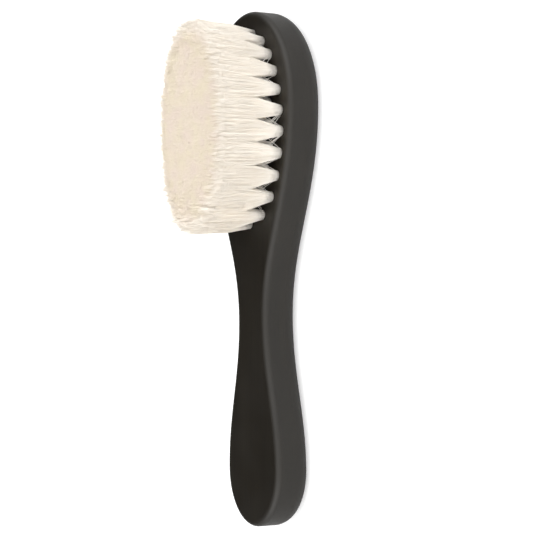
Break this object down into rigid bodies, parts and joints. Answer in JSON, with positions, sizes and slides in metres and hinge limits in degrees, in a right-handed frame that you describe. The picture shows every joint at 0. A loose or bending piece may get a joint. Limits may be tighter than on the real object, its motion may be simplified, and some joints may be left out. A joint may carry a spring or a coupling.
{
  "type": "fade brush",
  "caption": "Flat-backed barber's brush: black lacquered wooden head and waisted handle in one piece, with an oval field of soft cream hair tufts held in drilled holes.",
  "frame": {"origin": "on the flat back, half way along the brush and half way across it, which is the bottom centre of its box", "axes": "+X along the brush from the handle's tail to the tip of the head, +Z out of the bristled face, so the brush lies on its back"},
  "size_m": [0.18, 0.05, 0.041],
  "materials": {
    "lacquered_wood": "matte black lacquer over wood, soft broad highlight",
    "natural_hair": "soft cream natural hair, fine strands, trimmed ends",
    "anchor_wire": "drawn flat wire"
  },
  "bodies": {
    "root": {"anchors": "anchor_wire", "tuft_centre_01": "natural_hair", "tuft_centre_02": "natural_hair", "tuft_centre_03": "natural_hair", "tuft_centre_04": "natural_hair", "tuft_inner_01": "natural_hair", "tuft_inner_02": "natural_hair", "tuft_inner_03": "natural_hair", "tuft_inner_04": "natural_hair", "tuft_inner_05": "natural_hair", "tuft_inner_06": "natural_hair", "tuft_inner_07": "natural_hair", "tuft_inner_08": "natural_hair", "tuft_inner_09": "natural_hair", "tuft_inner_10": "natural_hair", "tuft_inner_11": "natural_hair", "tuft_inner_12": "natural_hair", "tuft_outer_01": "natural_hair", "tuft_outer_02": "natural_hair", "tuft_outer_03": "natural_hair", "tuft_outer_04": "natural_hair", "tuft_outer_05": "natural_hair", "tuft_outer_06": "natural_hair", "tuft_outer_07": "natural_hair", "tuft_outer_08": "natural_hair", "tuft_outer_09": "natural_hair", "tuft_outer_10": "natural_hair", "tuft_outer_11": "natural_hair", "tuft_outer_12": "natural_hair", "tuft_outer_13": "natural_hair", "tuft_outer_14": "natural_hair", "tuft_outer_15": "natural_hair", "tuft_outer_16": "natural_hair", "tuft_outer_17": "natural_hair", "tuft_outer_18": "natural_hair", "tuft_outer_19": "natural_hair", "tuft_outer_20": "natural_hair", "tuft_outer_21": "natural_hair", "tuft_outer_22": "natural_hair", "tuft_outer_23": "natural_hair", "tuft_second_01": "natural_hair", "tuft_second_02": "natural_hair", "tuft_second_03": "natural_hair", "tuft_second_04": "natural_hair", "tuft_second_05": "natural_hair", "tuft_second_06": "natural_hair", "tuft_second_07": "natural_hair", "tuft_second_08": "natural_hair", "tuft_second_09": "natural_hair", "tuft_second_10": "natural_hair", "tuft_second_11": "natural_hair", "tuft_second_12": "natural_hair", "tuft_second_13": "natural_hair", "tuft_second_14": "natural_hair", "tuft_second_15": "natural_hair", "tuft_second_16": "natural_hair", "tuft_second_17": "natural_hair", "wood_body": "lacquered_wood"}
  },
  "joints": []
}
